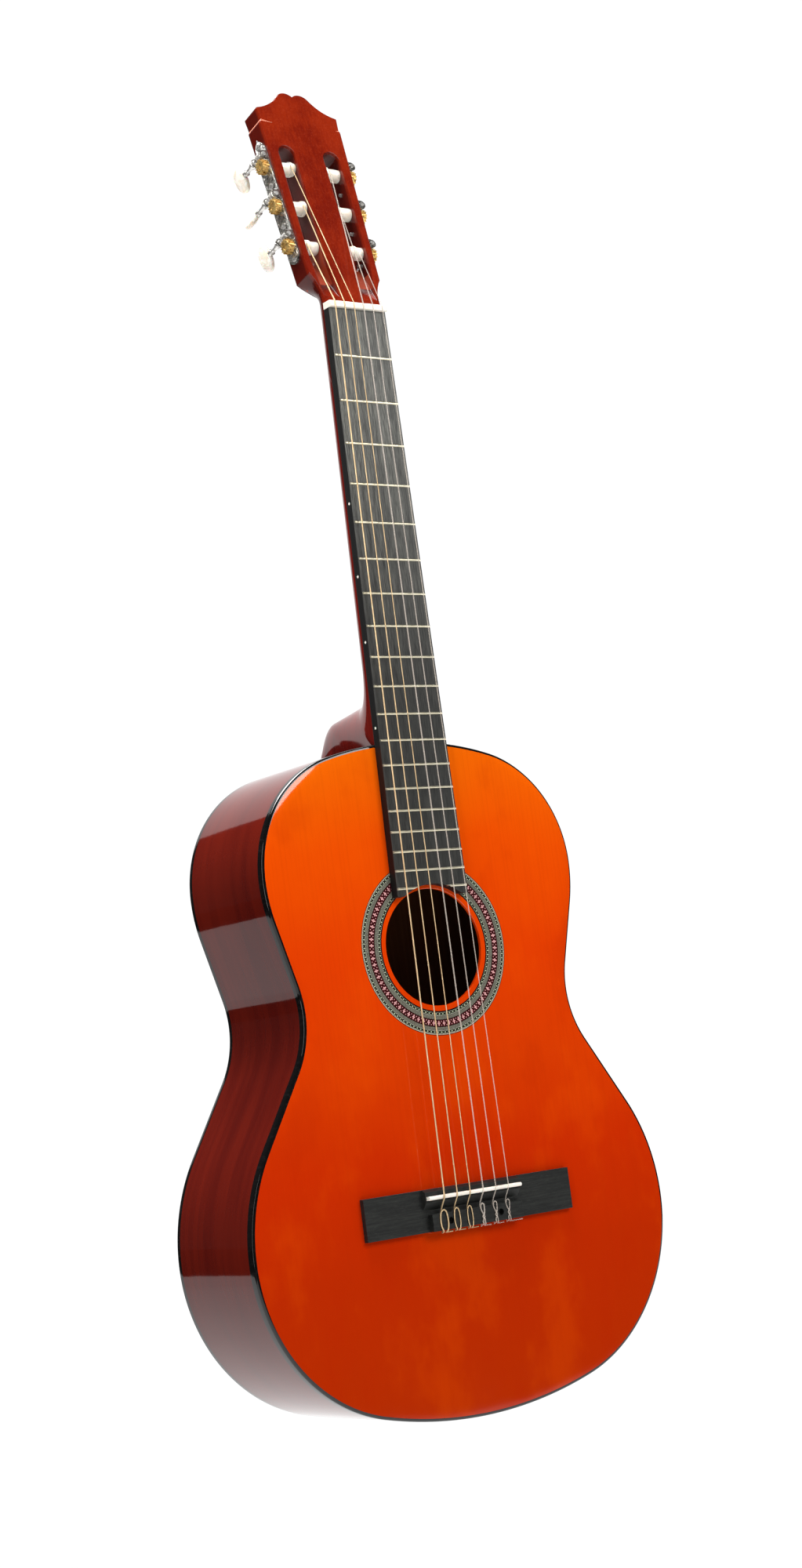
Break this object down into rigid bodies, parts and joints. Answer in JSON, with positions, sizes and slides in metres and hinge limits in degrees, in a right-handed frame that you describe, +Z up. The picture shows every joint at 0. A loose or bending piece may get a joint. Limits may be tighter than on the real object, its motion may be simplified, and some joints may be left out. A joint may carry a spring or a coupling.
{
  "type": "classical guitar",
  "caption": "Nylon-string classical guitar with a hollow body, inlaid sound hole, fretted neck, slotted head and geared tuning machines that turn the string rollers.",
  "frame": {"origin": "where the two arms of a wall hanger hold the guitar, on its centre line, 16 mm above the nut and 9 mm behind the plane of the soundboard", "axes": "+Z up along the neck to the head, -Y out of the soundboard, +X to the treble side"},
  "size_m": [0.367, 0.1134, 0.9959],
  "materials": {
    "soundboard": "gloss, orange to red stain",
    "rosette": "gloss inlay",
    "stained_body": "gloss red-brown stain",
    "stained_neck": "gloss red-brown stain",
    "stained_head": "gloss red-brown stain",
    "binding": "gloss black",
    "inside_wood": "bare",
    "spruce": "bare",
    "bridge": "satin black",
    "fretboard": "satin black, open grain",
    "fret_metal": "polished",
    "bone": "smooth ivory white",
    "chrome_plate": "engraved, plated",
    "plated_steel": "plated",
    "gear_brass": "bright",
    "button_plastic": "pearl cream",
    "roller_plastic": "smooth ivory white",
    "nylon": "clear nylon",
    "wound_string": "bronze winding"
  },
  "bodies": {
    "guitar": {"soundboard": "soundboard", "rosette": "rosette", "back": "stained_body", "bass_side": "stained_body", "treble_side": "stained_body", "top_binding": "binding", "back_binding": "binding", "top_linings": "inside_wood", "back_linings": "inside_wood", "neck_block": "inside_wood", "tail_block": "inside_wood", "fan_braces": "spruce", "harmonic_bars": "spruce", "bridge_patch": "inside_wood", "back_braces": "spruce", "back_strip": "spruce", "bridge": "bridge", "bridge_bolts": "plated_steel", "saddle": "bone", "neck": "stained_neck", "headstock": "stained_head", "fretboard": "fretboard", "frets": "fret_metal", "side_dots": "bone", "nut": "bone", "tuner_plate_bass": "chrome_plate", "tuner_plate_treble": "chrome_plate", "plate_screws": "plated_steel", "string_1": "nylon", "string_2": "nylon", "string_3": "nylon", "string_4": "wound_string", "string_5": "wound_string", "string_6": "wound_string"},
    "button_1": {"button_1": "button_plastic", "worm_1": "plated_steel"},
    "roller_1": {"roller_1": "roller_plastic", "gear_1": "gear_brass"},
    "button_2": {"button_2": "button_plastic", "worm_2": "plated_steel"},
    "roller_2": {"roller_2": "roller_plastic", "gear_2": "gear_brass"},
    "button_3": {"button_3": "button_plastic", "worm_3": "plated_steel"},
    "roller_3": {"roller_3": "roller_plastic", "gear_3": "gear_brass"},
    "button_4": {"button_4": "button_plastic", "worm_4": "plated_steel"},
    "roller_4": {"roller_4": "roller_plastic", "gear_4": "gear_brass"},
    "button_5": {"button_5": "button_plastic", "worm_5": "plated_steel"},
    "roller_5": {"roller_5": "roller_plastic", "gear_5": "gear_brass"},
    "button_6": {"button_6": "button_plastic", "worm_6": "plated_steel"},
    "roller_6": {"roller_6": "roller_plastic", "gear_6": "gear_brass"}
  },
  "joints": [
    {"name": "button_1_turn", "type": "hinge", "parent": "guitar", "child": "button_1", "pos_m": [0.03809, 0.01054, 0.04564], "axis": [0, -0.9724, 0.2334], "continuous": true},
    {"name": "roller_1_turn", "type": "hinge", "parent": "guitar", "child": "roller_1", "pos_m": [0.03321, 0.00871, 0.03802], "axis": [0.9994, -0.008, -0.0335], "continuous": true},
    {"name": "button_2_turn", "type": "hinge", "parent": "guitar", "child": "button_2", "pos_m": [0.03929, 0.01871, 0.07968], "axis": [0, -0.9724, 0.2334], "continuous": true},
    {"name": "roller_2_turn", "type": "hinge", "parent": "guitar", "child": "roller_2", "pos_m": [0.03442, 0.01688, 0.07206], "axis": [0.9994, -0.008, -0.0335], "continuous": true},
    {"name": "button_3_turn", "type": "hinge", "parent": "guitar", "child": "button_3", "pos_m": [0.0405, 0.02688, 0.11371], "axis": [0, -0.9724, 0.2334], "continuous": true},
    {"name": "roller_3_turn", "type": "hinge", "parent": "guitar", "child": "roller_3", "pos_m": [0.03563, 0.02505, 0.10609], "axis": [0.9994, -0.008, -0.0335], "continuous": true},
    {"name": "button_4_turn", "type": "hinge", "parent": "guitar", "child": "button_4", "pos_m": [-0.0405, 0.02688, 0.11371], "axis": [0, -0.9724, 0.2334], "continuous": true},
    {"name": "roller_4_turn", "type": "hinge", "parent": "guitar", "child": "roller_4", "pos_m": [-0.03563, 0.02505, 0.10609], "axis": [-0.9994, -0.008, -0.0335], "continuous": true},
    {"name": "button_5_turn", "type": "hinge", "parent": "guitar", "child": "button_5", "pos_m": [-0.03929, 0.01871, 0.07968], "axis": [0, -0.9724, 0.2334], "continuous": true},
    {"name": "roller_5_turn", "type": "hinge", "parent": "guitar", "child": "roller_5", "pos_m": [-0.03442, 0.01688, 0.07206], "axis": [-0.9994, -0.008, -0.0335], "continuous": true},
    {"name": "button_6_turn", "type": "hinge", "parent": "guitar", "child": "button_6", "pos_m": [-0.03809, 0.01054, 0.04564], "axis": [0, -0.9724, 0.2334], "continuous": true},
    {"name": "roller_6_turn", "type": "hinge", "parent": "guitar", "child": "roller_6", "pos_m": [-0.03321, 0.00871, 0.03802], "axis": [-0.9994, -0.008, -0.0335], "continuous": true}
  ],
  "couplings": [
    {"joint": "roller_1_turn", "follows": "button_1_turn", "ratio": -0.071429},
    {"joint": "roller_2_turn", "follows": "button_2_turn", "ratio": -0.071429},
    {"joint": "roller_3_turn", "follows": "button_3_turn", "ratio": -0.071429},
    {"joint": "roller_4_turn", "follows": "button_4_turn", "ratio": -0.071429},
    {"joint": "roller_5_turn", "follows": "button_5_turn", "ratio": -0.071429},
    {"joint": "roller_6_turn", "follows": "button_6_turn", "ratio": -0.071429}
  ]
}
